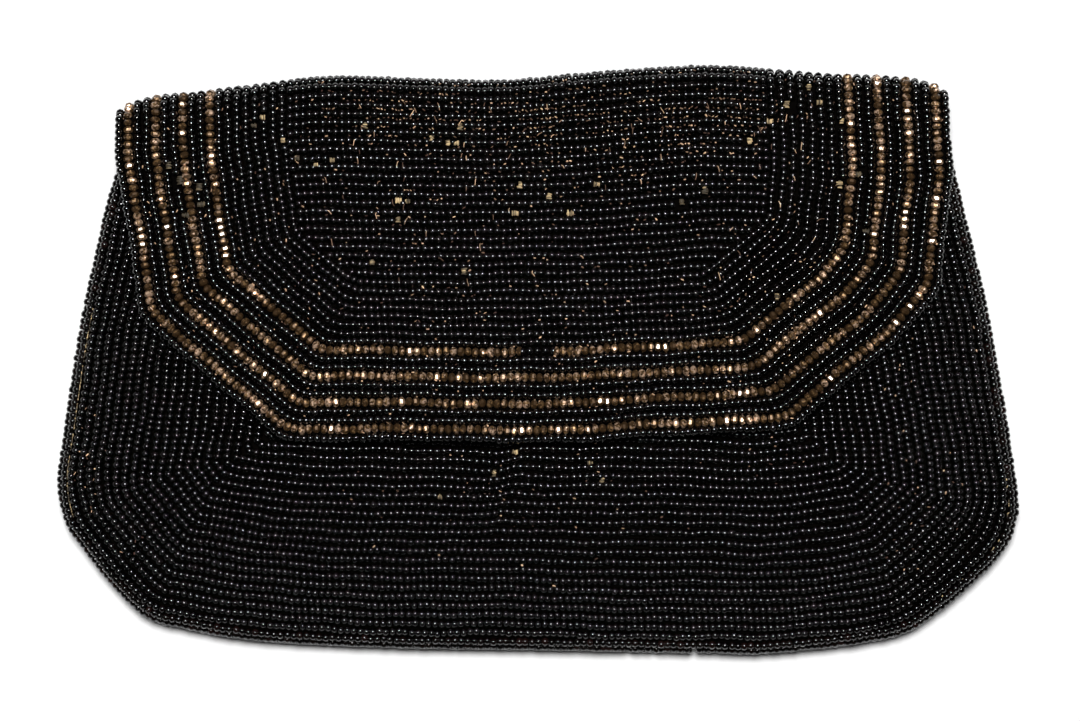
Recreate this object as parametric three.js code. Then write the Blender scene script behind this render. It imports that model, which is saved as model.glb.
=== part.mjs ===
// A beaded evening purse of the 1920s, an envelope clutch that lies on its back with the flap on top.
// Millimetres. +X runs to the right, +Y from the bottom edge to the fold, +Z up from the surface it lies on.
// The back panel curls up round the sides and the bottom to a seam, where the front panel begins. The flap is
// sewn to the back panel's top edge, goes round the fold and lies over the front, held by a hidden snap.
// Each panel is cloth with seed beads sewn on it, and four strings of gold beads lie in grooves between the rows.
import * as THREE from 'three';
import { mergeVertices } from 'three/addons/utils/BufferGeometryUtils.js';

// Overall sizes
const WIDTH = 200;
const HEIGHT = 122.4;

// Make-up of a panel
const CLOTH = 1.0;
const BEAD_DIAMETER = 1.8;
const ROW_PITCH = 1.9;
const WALL = CLOTH + BEAD_DIAMETER;
const GAP = 0.3;

// Thickness of the purse
const RIM_RADIUS = 4.8;
const SEAM_ANGLE = 150;
const CROWN_RISE = 4.5;
const CROWN_SIDE_RUN = 42;
const CROWN_BOTTOM_RUN = 38;
const CROWN_MOUTH_RUN = 48;
const MOUTH_SHARE = 0.35;
const CROWN_POWER = 2.5;

// The rise of the back towards the fold
const BACK_LIFT = 0.8;
const BACK_LIFT_RUN = 16;

// The fold and the flap
const FOLD_RADIUS = 3.8;
const FLAP_CLEARANCE = 0.45;

// The gold strings, counted in rows from the flap's edge
const GOLD_DIAMETER = 1.8;
const GOLD_FIRST_ROW = 1;
const GOLD_ROW_STEP = 3;
const GOLD_STRINGS = 4;
const GOLD_SIDES = 8;
const GROOVE_FLOOR_SHARE = 0.84;

// The snap under the flap
const SNAP_X = 0;
const SNAP_Y = -5;
const SNAP_DIAMETER = 9;
const SNAP_CAP_DIAMETER = 7.4;
const SNAP_THICKNESS = 1.6;
const SNAP_SIDES = 20;
const SNAP_SWELL_X = 30;
const SNAP_SWELL_Y = 18;

const HALF_WIDTH = WIDTH / 2;
const HALF_HEIGHT = HEIGHT / 2;

// The edge of the body seen from above, from the mouth down the left side, along the bottom and up the right
// side. x is a share of half the width, y of half the height.
const BODY_EDGE = [
  { x: -0.862, y: 0.724 },
  { x: -0.902, y: 0.541 },
  { x: -0.955, y: 0.13 },
  { x: -0.985, y: -0.205 },
  { x: -1.0, y: -0.41 },
  { x: -0.984, y: -0.551 },
  { x: -0.946, y: -0.642 },
  { x: -0.889, y: -0.762 },
  { x: -0.812, y: -0.877 },
  { x: -0.725, y: -0.918 },
  { x: -0.57, y: -0.958 },
  { x: -0.285, y: -0.98 },
  { x: 0.03, y: -0.988 },
  { x: 0.34, y: -0.997 },
  { x: 0.46, y: -1.0 },
  { x: 0.6, y: -0.98 },
  { x: 0.7, y: -0.956 },
  { x: 0.77, y: -0.925 },
  { x: 0.838, y: -0.852 },
  { x: 0.915, y: -0.746 },
  { x: 0.972, y: -0.647 },
  { x: 0.996, y: -0.551 },
  { x: 1.0, y: -0.45 },
  { x: 0.97, y: -0.1 },
  { x: 0.932, y: 0.247 },
  { x: 0.862, y: 0.724 },
];

// The outermost line of the fold seen from above, in the same shares: a soft wave that drops at both ends.
const FOLD_LINE = [
  { x: -0.88, y: 0.83 },
  { x: -0.85, y: 0.872 },
  { x: -0.785, y: 0.902 },
  { x: -0.7, y: 0.913 },
  { x: -0.59, y: 0.936 },
  { x: -0.44, y: 0.964 },
  { x: -0.26, y: 0.958 },
  { x: -0.08, y: 0.951 },
  { x: 0.1, y: 0.976 },
  { x: 0.27, y: 0.996 },
  { x: 0.38, y: 1.0 },
  { x: 0.58, y: 0.975 },
  { x: 0.76, y: 0.962 },
  { x: 0.82, y: 0.943 },
  { x: 0.848, y: 0.915 },
  { x: 0.865, y: 0.88 },
];

// The flap's edge seen from above, in the same shares: two sides that lean in a little at the fold, two cut
// corners, and a bottom that lifts to the right. spread is how far apart the rows of beads lie on the stretch that
// begins there, as a share of the row pitch, and steps is how many mesh steps it has. down is how far down the
// flap's middle line the sides have come at the point.
const FLAP_EDGE = [
  { x: -0.876, y: 0.84, spread: 0.99, steps: 2, down: 0 },
  { x: -0.876, y: 0.7, spread: 0.99, steps: 4, down: 0.3 },
  { x: -0.823, y: 0.14, spread: 0.97, steps: 3, down: 1 },
  { x: -0.52, y: -0.283, spread: 0.94, steps: 5, down: 1 },
  { x: 0.1, y: -0.286, spread: 0.94, steps: 4, down: 1 },
  { x: 0.523, y: -0.238, spread: 1.03, steps: 2, down: 1 },
  { x: 0.735, y: 0.042, spread: 1.04, steps: 2, down: 1 },
  { x: 0.835, y: 0.242, spread: 1.055, steps: 4, down: 1 },
  { x: 0.861, y: 0.6, spread: 1.055, steps: 2, down: 0.3 },
  { x: 0.856, y: 0.8, spread: 1.055, steps: 0, down: 0 },
];

// How many mesh steps a quarter of the fold has, and how far down its middle line the flap's sides reach
const ARC_STEPS = 4;
const FLAP_SPINE_FOOT = 0.2;

// How many mesh steps each stretch of the body's edge has, and where its middle line ends
const BODY_STEPS = 2;
const BODY_SPINE_FOOT = -0.4;

// Rings of the two body panels inward from the rim, as shares of the way to the middle line
const PANEL_SHARES = [0.1, 0.25, 0.45, 0.7, 1];
const FRONT_EDGE_INSETS = [1.6, 4.5];
const RIM_ANGLES = [125, 100, 75, 50, 25, 0];
const FLAP_SHARES = [0.16, 0.36, 0.62, 0.82, 1];

const clamp = (v, low, high) => Math.min(high, Math.max(low, v));
const lerp = (a, b, t) => a + (b - a) * t;
const radians = (degrees) => (degrees * Math.PI) / 180;
const range = (count) => Array.from({ length: count }, (_, i) => i);

function smoothstep(t) {
  const s = clamp(t, 0, 1);
  return s * s * (3 - 2 * s);
}

// A table of shares as points in millimetres.
const toPoints = (table) => table.map((row) => new THREE.Vector2(row.x * HALF_WIDTH, row.y * HALF_HEIGHT));

// y at x on a line of points that run in +X, as a smooth curve with the slope of each point's two neighbours.
function smoothHeight(points, x) {
  const last = points.length - 1;
  const at = clamp(x, points[0].x, points[last].x);
  let i = 0;
  while (i < last - 1 && at > points[i + 1].x) i += 1;
  const slope = (k) => {
    const before = points[Math.max(k - 1, 0)];
    const after = points[Math.min(k + 1, last)];
    return (after.y - before.y) / (after.x - before.x);
  };
  const run = points[i + 1].x - points[i].x;
  const t = (at - points[i].x) / run;
  const rise = points[i + 1].y - points[i].y;
  const start = slope(i) * run;
  const end = slope(i + 1) * run;
  return points[i].y + t * (start + t * (3 * rise - 2 * start - end + t * (start + end - 2 * rise)));
}

// Straight-line lookup of one coordinate by another along a chain of points that rises in the second.
function lookUp(chain, by, want, value) {
  const last = chain.length - 1;
  const at = clamp(value, chain[0][by], chain[last][by]);
  let i = 0;
  while (i < last - 1 && at > chain[i + 1][by]) i += 1;
  const t = (at - chain[i][by]) / (chain[i + 1][by] - chain[i][by]);
  return lerp(chain[i][want], chain[i + 1][want], t);
}

// The body's edge: points, the way inward from each, and the point of the middle line that it shares with its
// opposite on the other side
const bodyCurve = new THREE.SplineCurve(toPoints(BODY_EDGE));
const BODY_SPANS = (BODY_EDGE.length - 1) * BODY_STEPS;
const bodyStations = range(BODY_SPANS + 1).map((i) => {
  const point = bodyCurve.getPoint(i / BODY_SPANS);
  const opposite = bodyCurve.getPoint(1 - i / BODY_SPANS);
  const along = bodyCurve.getTangent(i / BODY_SPANS);
  const spineY = Math.max((point.y + opposite.y) / 2, BODY_SPINE_FOOT * HALF_HEIGHT);
  return { point, inward: new THREE.Vector2(-along.y, along.x), spine: new THREE.Vector2(0, spineY) };
});
const MOUTH_Y = bodyStations[0].point.y;
// The rim ends square at the mouth, so its first and last stations look straight along X.
bodyStations[0].inward.set(1, 0);
bodyStations[bodyStations.length - 1].inward.set(-1, 0);

const edgePoints = bodyStations.map((s) => s.point);
const lowest = edgePoints.reduce((best, p, i) => (p.y < edgePoints[best].y ? i : best), 0);
const leftmost = edgePoints.reduce((best, p, i) => (p.x < edgePoints[best].x ? i : best), 0);
const rightmost = edgePoints.reduce((best, p, i) => (p.x > edgePoints[best].x ? i : best), 0);
const leftChain = edgePoints.slice(0, lowest + 1).reverse();
const rightChain = edgePoints.slice(lowest);
const bottomChain = edgePoints.slice(leftmost, rightmost + 1);

const SEAM_INSET = RIM_RADIUS * (1 - Math.sin(radians(SEAM_ANGLE)));
const SEAM_HEIGHT = RIM_RADIUS * (1 - Math.cos(radians(SEAM_ANGLE)));

// How far the back rises from the surface below it, towards the fold.
const backLift = (y) => BACK_LIFT * smoothstep(1 - (MOUTH_Y - y) / BACK_LIFT_RUN);

// A rise that starts at 0 on an edge and is full past the run.
const swell = (distance, run) => 1 - (1 - clamp(distance / run, 0, 1)) ** CROWN_POWER;

// Height of the front panel's outer face.
function frontHeight(x, yAsked) {
  const y = Math.min(yAsked, MOUTH_Y);
  const fromSide = Math.min(x - lookUp(leftChain, 'y', 'x', y), lookUp(rightChain, 'y', 'x', y) - x);
  const fromBottom = y - lookUp(bottomChain, 'x', 'y', x);
  const fromMouth = lerp(MOUTH_SHARE, 1, smoothstep((MOUTH_Y - y) / CROWN_MOUTH_RUN));
  const sideSwell = swell(fromSide - SEAM_INSET, CROWN_SIDE_RUN);
  const bottomSwell = swell(fromBottom - SEAM_INSET, CROWN_BOTTOM_RUN);
  return SEAM_HEIGHT + backLift(y) + CROWN_RISE * sideSwell * bottomSwell * fromMouth;
}

// Height of the flap's outer face, which leaves room for the snap.
function flapHeight(x, y) {
  const overSnap = Math.exp(-(((x - SNAP_X) / SNAP_SWELL_X) ** 2 + ((y - SNAP_Y) / SNAP_SWELL_Y) ** 2) / 2);
  const snapRoom = SNAP_THICKNESS + 2 * GAP + GAP / 4 - FLAP_CLEARANCE;
  return frontHeight(x, y) + FLAP_CLEARANCE + snapRoom * overSnap + WALL;
}

// The point at a height above a face z = height(x, y), measured square to it.
function aboveFace(height, x, y, above) {
  const step = 0.2;
  const normal = new THREE.Vector3(
    (height(x - step, y) - height(x + step, y)) / (2 * step),
    (height(x, y - step) - height(x, y + step)) / (2 * step),
    1,
  ).normalize();
  return new THREE.Vector3(x, y, height(x, y)).addScaledVector(normal, above);
}

// A closed solid from quads and triangles given as points, with its faces turned outward.
function solidFrom(corners) {
  const raw = new THREE.BufferGeometry().setAttribute(
    'position',
    new THREE.Float32BufferAttribute(corners.flatMap((p) => [p.x, p.y, p.z]), 3),
  );
  const merged = mergeVertices(raw, 1e-3);
  const at = merged.getAttribute('position');
  const kept = [];
  let volume = 0;
  const [a, b, c] = [new THREE.Vector3(), new THREE.Vector3(), new THREE.Vector3()];
  for (let i = 0; i < merged.index.count; i += 3) {
    const [p, q, r] = [merged.index.getX(i), merged.index.getX(i + 1), merged.index.getX(i + 2)];
    if (p === q || q === r || r === p) continue;
    kept.push(p, q, r);
    volume += a.fromBufferAttribute(at, p).dot(b.fromBufferAttribute(at, q).cross(c.fromBufferAttribute(at, r)));
  }
  if (volume < 0) kept.reverse();
  merged.setIndex(kept);
  merged.computeVertexNormals();
  return merged;
}

// The two triangles between four corners, in order round them.
const quad = (a, b, c, d) => [a, b, c, a, c, d];

// A wall between an outer and an inner face, each given as rings of stations. The last rings lie on the middle
// line, where the left half meets the right half, so they need no closing face.
function wallSolid(outer, inner) {
  const corners = [];
  const rings = outer.length;
  const stations = outer[0].length;
  for (let i = 0; i + 1 < rings; i += 1) {
    for (let j = 0; j + 1 < stations; j += 1) {
      corners.push(...quad(outer[i][j], outer[i + 1][j], outer[i + 1][j + 1], outer[i][j + 1]));
      corners.push(...quad(inner[i][j], inner[i][j + 1], inner[i + 1][j + 1], inner[i + 1][j]));
    }
    const last = stations - 1;
    corners.push(...quad(outer[i][0], inner[i][0], inner[i + 1][0], outer[i + 1][0]));
    corners.push(...quad(outer[i][last], outer[i + 1][last], inner[i + 1][last], inner[i][last]));
  }
  for (let j = 0; j + 1 < stations; j += 1) {
    corners.push(...quad(outer[0][j], outer[0][j + 1], inner[0][j + 1], inner[0][j]));
  }
  return solidFrom(corners);
}

// A solid string through loops of points, one at each station, with flat ends.
function stringSolid(loops) {
  const corners = [];
  const sides = loops[0].length;
  for (let j = 0; j + 1 < loops.length; j += 1) {
    for (let k = 0; k < sides; k += 1) {
      const next = (k + 1) % sides;
      corners.push(...quad(loops[j][k], loops[j][next], loops[j + 1][next], loops[j + 1][k]));
    }
  }
  const [first, last] = [loops[0], loops[loops.length - 1]];
  for (let k = 1; k + 1 < sides; k += 1) {
    corners.push(first[0], first[k + 1], first[k], last[0], last[k], last[k + 1]);
  }
  return solidFrom(corners);
}

// A point on or under the curled rim: angle 0 is where it leaves the flat back, 90 its outermost line.
function rimPoint(station, angle, under, past = 0) {
  const turn = radians(angle);
  const radius = RIM_RADIUS - under;
  const inset = RIM_RADIUS - radius * Math.sin(turn) - past * Math.cos(turn);
  const height = RIM_RADIUS - radius * Math.cos(turn) + past * Math.sin(turn);
  const plan = station.point.clone().addScaledVector(station.inward, inset);
  return new THREE.Vector3(plan.x, plan.y, height + backLift(station.point.y));
}

// A body station's point on the way from an inset to the middle line, seen from above.
function towardsSpine(station, inset, share) {
  return station.point.clone().addScaledVector(station.inward, inset).lerp(station.spine, share);
}

function backPanelGeometry() {
  const rim = (under) => [SEAM_ANGLE, ...RIM_ANGLES].map((angle) => bodyStations.map((s) => rimPoint(s, angle, under)));
  const floor = (under) =>
    PANEL_SHARES.map((share) =>
      bodyStations.map((s) => {
        const plan = towardsSpine(s, RIM_RADIUS, share);
        return new THREE.Vector3(plan.x, plan.y, backLift(plan.y) + under);
      }),
    );
  return wallSolid([...rim(0), ...floor(0)], [...rim(WALL), ...floor(WALL)]);
}

function frontPanelGeometry() {
  const seam = (under) => bodyStations.map((s) => rimPoint(s, SEAM_ANGLE, under, GAP));
  const face = (under, inset, share) =>
    bodyStations.map((s) => {
      const plan = towardsSpine(s, SEAM_INSET + inset, share);
      return aboveFace(frontHeight, plan.x, plan.y, -under);
    });
  const rings = (under) => [
    seam(under),
    ...FRONT_EDGE_INSETS.map((inset) => face(under, inset, 0)),
    ...PANEL_SHARES.map((share) => face(under, FRONT_EDGE_INSETS[FRONT_EDGE_INSETS.length - 1], share)),
  ];
  // The mouth's edge is cut square, so the leaning under side is brought back into its plane.
  const squared = (faces) =>
    faces.map((ring) => ring.map((p, j) => (j === 0 || j === ring.length - 1 ? p.clone().setY(MOUTH_Y) : p)));
  return wallSolid(squared(rings(0)), squared(rings(WALL)));
}

const foldPoints = toPoints(FOLD_LINE);
const foldY = (x) => smoothHeight(foldPoints, x);
const shoulderY = (x) => foldY(x) - FOLD_RADIUS;
const flapEdgePoints = toPoints(FLAP_EDGE);

// Where two lines meet, each through a point in a direction.
function crossing(p, along, q, other) {
  const t = ((q.x - p.x) * other.y - (q.y - p.y) * other.x) / (along.x * other.y - along.y * other.x);
  return p.clone().addScaledVector(along, t);
}

// The flap's edge moved inward by a distance, with its corners mitred and its ends on the fold's shoulder.
function flapInset(distance) {
  const sides = range(flapEdgePoints.length - 1).map((i) => {
    const along = flapEdgePoints[i + 1].clone().sub(flapEdgePoints[i]).normalize();
    const inward = new THREE.Vector2(-along.y, along.x);
    return { start: flapEdgePoints[i].clone().addScaledVector(inward, distance * FLAP_EDGE[i].spread), along };
  });
  const level = new THREE.Vector2(1, 0);
  const onShoulder = (side) => {
    let end = side.start;
    for (const x of [side.start.x, 0]) {
      const at = x || end.x;
      end = crossing(side.start, side.along, new THREE.Vector2(at, shoulderY(at)), level);
    }
    return end;
  };
  const corners = range(sides.length - 1).map((i) =>
    crossing(sides[i].start, sides[i].along, sides[i + 1].start, sides[i + 1].along),
  );
  return [onShoulder(sides[0]), ...corners, onShoulder(sides[sides.length - 1])];
}

// A point on the flap round the fold. turn 0 faces down, 90 away from the purse and 180 up.
function foldPoint(x, turn, above) {
  const angle = radians(turn);
  const low = BACK_LIFT + FOLD_RADIUS;
  const high = flapHeight(x, shoulderY(x)) - FOLD_RADIUS;
  const reach = FOLD_RADIUS + above;
  const middle = turn > 90 ? high : low;
  return new THREE.Vector3(x, shoulderY(x) + reach * Math.sin(angle), middle - reach * Math.cos(angle));
}

// The flap's stations: the tail on the back, the fold, the front's edges and the same back again. Each is a
// function of an inset from the edge and a height above the outer face, and of a share of the way to the middle.
const foldTurns = range(ARC_STEPS + 1).map((i) => (90 * i) / ARC_STEPS);
const upperTurn = 90.001;

function tailStation(side) {
  return (distance, above, share) => {
    const corners = flapInset(distance);
    const x = lerp(corners[side ? corners.length - 1 : 0].x, 0, share);
    const y = MOUTH_Y + GAP;
    return new THREE.Vector3(x, y, BACK_LIFT - above);
  };
}

function foldStation(side, turn) {
  return (distance, above, share) => {
    const corners = flapInset(distance);
    return foldPoint(lerp(corners[side ? corners.length - 1 : 0].x, 0, share), turn, above);
  };
}

// The front's station on stretch i of the edge, t of the way along it.
function frontStation(i, t) {
  const last = flapEdgePoints.length - 2;
  return (distance, above, share) => {
    const corners = flapInset(distance);
    const edge = corners[i].clone().lerp(corners[i + 1], t);
    const down = lerp(FLAP_EDGE[i].down, FLAP_EDGE[i + 1].down, t);
    const spine = new THREE.Vector2(0, lerp(shoulderY(0), FLAP_SPINE_FOOT * HALF_HEIGHT, down));
    const plan = edge.lerp(spine, share);
    const onShoulder = (i === 0 && t === 0) || (i === last && t === 1);
    return onShoulder ? foldPoint(plan.x, 180, above) : aboveFace(flapHeight, plan.x, plan.y, above);
  };
}

function flapStations() {
  const turns = [...foldTurns, upperTurn, ...foldTurns.slice(1, -1).map((turn) => turn + 90)];
  const left = [tailStation(false), ...turns.map((turn) => foldStation(false, turn))];
  const right = [tailStation(true), ...turns.map((turn) => foldStation(true, turn))].reverse();
  const front = FLAP_EDGE.flatMap(({ steps }, i) => range(steps).map((k) => frontStation(i, k / steps)));
  return [...left, ...front, frontStation(FLAP_EDGE.length - 2, 1), ...right];
}
const stations = flapStations();

const goldInsets = range(GOLD_STRINGS).map((i) => (GOLD_FIRST_ROW + GOLD_ROW_STEP * i + 0.5) * ROW_PITCH);

function flapGeometry() {
  const edge = [
    { inset: 0, outer: -BEAD_DIAMETER / 2, inner: -WALL + CLOTH / 2, share: 0 },
    { inset: CLOTH / 2, outer: 0, inner: -WALL, share: 0 },
  ];
  const half = GOLD_DIAMETER / 2 + GAP;
  const grooves = goldInsets.flatMap((middle) => [
    { inset: middle - half, outer: 0, inner: -WALL, share: 0 },
    { inset: middle - half * GROOVE_FLOOR_SHARE, outer: -BEAD_DIAMETER, inner: -WALL, share: 0 },
    { inset: middle + half * GROOVE_FLOOR_SHARE, outer: -BEAD_DIAMETER, inner: -WALL, share: 0 },
    { inset: middle + half, outer: 0, inner: -WALL, share: 0 },
  ]);
  const innermost = grooves[grooves.length - 1].inset;
  const field = FLAP_SHARES.map((share) => ({ inset: innermost, outer: 0, inner: -WALL, share }));
  const rings = [...edge, ...grooves, ...field];
  const face = (key) => rings.map((ring) => stations.map((at) => at(ring.inset, ring[key], ring.share)));
  return wallSolid(face('outer'), face('inner'));
}

function goldStringGeometry(middle) {
  const radius = GOLD_DIAMETER / 2;
  const height = radius + GAP - BEAD_DIAMETER;
  const loops = stations.map((at) =>
    range(GOLD_SIDES).map((k) => {
      const angle = ((k + 0.5) * 2 * Math.PI) / GOLD_SIDES;
      return at(middle + radius * Math.cos(angle), height + radius * Math.sin(angle), 0);
    }),
  );
  return stringSolid(loops);
}

function snapGeometry() {
  const [wide, narrow] = [SNAP_DIAMETER / 2, SNAP_CAP_DIAMETER / 2];
  const profile = [
    new THREE.Vector2(0, 0),
    new THREE.Vector2(wide, 0),
    new THREE.Vector2(wide, SNAP_THICKNESS / 2),
    new THREE.Vector2(narrow, SNAP_THICKNESS / 2),
    new THREE.Vector2(narrow, SNAP_THICKNESS),
    new THREE.Vector2(0, SNAP_THICKNESS),
  ];
  return new THREE.LatheGeometry(profile, SNAP_SIDES);
}

const blackBeads = new THREE.MeshStandardMaterial({ color: 0x15100f, roughness: 0.2, metalness: 0 });
const goldBeads = new THREE.MeshStandardMaterial({ color: 0x8f6b45, roughness: 0.3, metalness: 0.8 });
const snapSteel = new THREE.MeshStandardMaterial({ color: 0x8c8c90, roughness: 0.35, metalness: 1 });

function part(name, geometry, material) {
  const mesh = new THREE.Mesh(geometry, material);
  mesh.name = name;
  return mesh;
}

const purse = new THREE.Group();
purse.add(part('back_panel', backPanelGeometry(), blackBeads));
purse.add(part('front_panel', frontPanelGeometry(), blackBeads));
purse.add(part('flap', flapGeometry(), blackBeads));
goldInsets.forEach((inset, i) => purse.add(part(`gold_string_${i + 1}`, goldStringGeometry(inset), goldBeads)));

const snap = part('snap_fastener', snapGeometry(), snapSteel);
snap.rotation.x = Math.PI / 2;
snap.position.set(SNAP_X, SNAP_Y, frontHeight(SNAP_X, SNAP_Y) + GAP);
purse.add(snap);

export default purse;
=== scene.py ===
# A beaded evening purse of the 1920s that lies on its back with its flap closed: cloth walls, rows of
# black seed beads, strings of cut gold beads and the threads that show between them. Shapes are worked
# out in millimetres and turned into metres when a mesh is made.
import math

import bmesh
import bpy
import numpy as np
from bpy.props import FloatProperty, FloatVectorProperty, IntProperty, PointerProperty
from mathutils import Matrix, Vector


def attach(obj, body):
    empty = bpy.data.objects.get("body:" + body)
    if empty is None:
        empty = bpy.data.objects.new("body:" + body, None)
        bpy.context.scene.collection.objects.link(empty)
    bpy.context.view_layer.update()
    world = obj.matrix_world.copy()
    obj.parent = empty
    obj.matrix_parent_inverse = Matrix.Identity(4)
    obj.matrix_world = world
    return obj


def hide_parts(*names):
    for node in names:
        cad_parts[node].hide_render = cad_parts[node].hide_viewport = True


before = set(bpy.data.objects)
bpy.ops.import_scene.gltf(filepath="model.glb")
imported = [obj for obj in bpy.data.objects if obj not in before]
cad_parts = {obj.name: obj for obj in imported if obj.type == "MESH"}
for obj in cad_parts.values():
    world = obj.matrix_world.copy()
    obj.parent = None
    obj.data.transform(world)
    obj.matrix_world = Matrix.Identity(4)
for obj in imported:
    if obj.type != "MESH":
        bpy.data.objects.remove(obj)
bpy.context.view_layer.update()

bl_info = {
    "name": "Beaded Purse",
    "version": (1, 0, 0),
    "blender": (4, 5, 0),
    "location": "3D View > Sidebar > Purse",
    "description": "Builds the cloth, beads and threads of a beaded envelope purse",
    "category": "Add Mesh",
}

MM = 0.001

# Sizes of the purse, as its source has them
WIDTH, HEIGHT = 200.0, 122.4
HALF = np.array([WIDTH / 2, HEIGHT / 2])
CLOTH = 1.0
BEAD = 1.8
WALL = CLOTH + BEAD
GAP = 0.3
RIM_RADIUS = 4.8
SEAM_ANGLE = math.radians(150)
CROWN_RISE = 4.5
CROWN_SIDE_RUN, CROWN_BOTTOM_RUN, CROWN_MOUTH_RUN = 42.0, 38.0, 48.0
MOUTH_SHARE = 0.35
CROWN_POWER = 2.5
BACK_LIFT, BACK_LIFT_RUN = 0.8, 16.0
FOLD_RADIUS = 3.8
FLAP_CLEARANCE = 0.45
SNAP_AT, SNAP_THICKNESS, SNAP_SWELL = (0.0, -5.0), 1.6, (30.0, 18.0)
SEAM_INSET = RIM_RADIUS * (1 - math.sin(SEAM_ANGLE))
SEAM_HEIGHT = RIM_RADIUS * (1 - math.cos(SEAM_ANGLE))
# Where the cloth's faces meet on the middle line
BODY_SPINE_FOOT, FLAP_SPINE_FOOT = -0.4 * HALF[1], 0.2 * HALF[1]

# The body's edge, from the mouth down the left side, along the bottom and up the right side: x, y as
# shares of half the width and half the height.
BODY_EDGE = HALF * np.array([
    (-0.862, 0.724), (-0.902, 0.541), (-0.955, 0.13), (-0.985, -0.205), (-1.0, -0.41),
    (-0.984, -0.551), (-0.946, -0.642), (-0.889, -0.762), (-0.812, -0.877), (-0.725, -0.918),
    (-0.57, -0.958), (-0.285, -0.98), (0.03, -0.988), (0.34, -0.997), (0.46, -1.0), (0.6, -0.98),
    (0.7, -0.956), (0.77, -0.925), (0.838, -0.852), (0.915, -0.746), (0.972, -0.647),
    (0.996, -0.551), (1.0, -0.45), (0.97, -0.1), (0.932, 0.247), (0.862, 0.724),
])
# The outermost line of the fold, in the same shares
FOLD_LINE = HALF * np.array([
    (-0.88, 0.83), (-0.85, 0.872), (-0.785, 0.902), (-0.7, 0.913), (-0.59, 0.936), (-0.44, 0.964),
    (-0.26, 0.958), (-0.08, 0.951), (0.1, 0.976), (0.27, 0.996), (0.38, 1.0), (0.58, 0.975), (0.76, 0.962),
    (0.82, 0.943), (0.848, 0.915), (0.865, 0.88),
])
# The flap's edge, in the same shares: x, y, how far apart the rows lie on the stretch that begins
# there, how far down the middle line the sides have come, and the steps that the cloth has on it.
FLAP_TABLE = np.array([
    (-0.876, 0.84, 0.99, 0, 4), (-0.876, 0.7, 0.99, 0.3, 10), (-0.823, 0.14, 0.97, 1, 9),
    (-0.52, -0.283, 0.94, 1, 13), (0.1, -0.286, 0.94, 1, 10), (0.523, -0.238, 1.03, 1, 6),
    (0.735, 0.042, 1.04, 1, 6), (0.835, 0.242, 1.055, 1, 10), (0.861, 0.6, 1.055, 0.3, 4),
    (0.856, 0.8, 1.055, 0, 0),
])
FLAP_EDGE = FLAP_TABLE[:, :2] * HALF
FLAP_SPREADS, FLAP_DOWN, FLAP_STEPS = FLAP_TABLE[:, 2], FLAP_TABLE[:, 3], FLAP_TABLE[:, 4].astype(int)
FLAP_CORNER_RADIUS = 7.0

# Rows of beads, counted inward from an edge, and where the body's rows and the level rows end
BODY_OUTER_ROWS, BODY_ROWS = 11, 25
FLAP_RINGS = 19
GOLD_RINGS = (1, 4, 7, 10)
RIM_ROW_ANGLES = (136, 108, 80, 52, 24)
FIRST_BODY_ROW, BODY_ROW_DRAW = SEAM_INSET + GAP + BEAD / 2, 0.985
UNDER_FLAP = 5.0
LEVEL_ROW_END = 0.5
BACK_ROWS_SPLIT = -6.0
# The waves in which the sewing strays from its line, across and along: how far, how fast it runs with x
# and with y, and where it starts.
STRAY_ACROSS = ((0.16, 0.05, 0.21, 1.3), (0.10, -0.31, 0.53, 0.4))
STRAY_ALONG = ((0.20, 0.13, 0.07, 0.0), (0.12, 0.37, -0.29, 2.1), (0.05, 1.3, 1.0, 0.0))
# The ruck below the flap, where the rows step up by half a row: its place, run and lean
CREASE_X, CREASE_Y, CREASE_LEAN, CREASE_RUN = -8.0, -30.0, 0.25, 5.0
CREASE_BOTTOM, CREASE_FADE, CREASE_STEP, CREASE_DIP = -46.0, 14.0, 0.95, 0.5

# Places where beads are gone, read off the photograph: the pixel from the left and from the top,
# how many pixels across, and how pale the thread is that shows there.
FLAP_GAPS_SEEN = (
    (262, 117, 5, 0.9), (254, 125, 5, 0.3), (283, 140, 4, 0.9), (297, 158, 5, 0.2), (316, 165, 4, 0.9),
    (332, 160, 4, 0.9), (398, 200, 7, 1.0), (408, 201, 4, 0.3), (398, 219, 4, 0.8), (448, 143, 4, 0.8),
    (457, 143, 5, 0.9), (460, 127, 6, 0.6), (365, 125, 5, 0.7), (432, 138, 4, 0.7), (520, 185, 6, 0.7),
    (597, 184, 6, 0.6), (515, 213, 6, 0.7), (570, 213, 7, 0.8), (549, 196, 5, 0.8), (464, 271, 6, 0.5),
    (372, 262, 5, 0.5), (787, 104, 7, 1.0), (770, 121, 7, 1.0), (750, 141, 5, 0.9), (820, 102, 5, 0.7),
    (809, 87, 5, 0.7), (840, 184, 7, 0.7), (859, 174, 5, 0.4), (866, 231, 5, 0.2), (842, 121, 4, 0.8),
    (777, 296, 6, 0.6), (705, 190, 8, 0.2), (682, 202, 5, 0.3), (168, 165, 7, 0.15), (180, 180, 9, 0.15),
    (199, 187, 9, 0.3), (201, 204, 7, 0.2), (185, 215, 7, 0.2),
)
BODY_GAPS_SEEN = (
    (515, 452, 4, 0.6), (494, 473, 4, 0.6), (440, 497, 4, 0.5), (590, 463, 4, 0.5), (602, 480, 4, 0.5),
)
# Beads that are gone from the rim, where only cloth shows
RIM_GAPS_SEEN = ((627.5, 650, 4, 0), (650.5, 650, 4, 0), (694, 652, 4, 0))
# Where black beads stand in for gold ones on the innermost string: the pixel, and the reach in millimetres
STAND_IN_SEEN, STAND_IN_REACH = (537, 351), 3.5
# How far a gap reaches past what the photograph shows of it, in millimetres
FLAP_GAP_MARGIN, BODY_GAP_MARGIN = 0.25, 0.3

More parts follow.
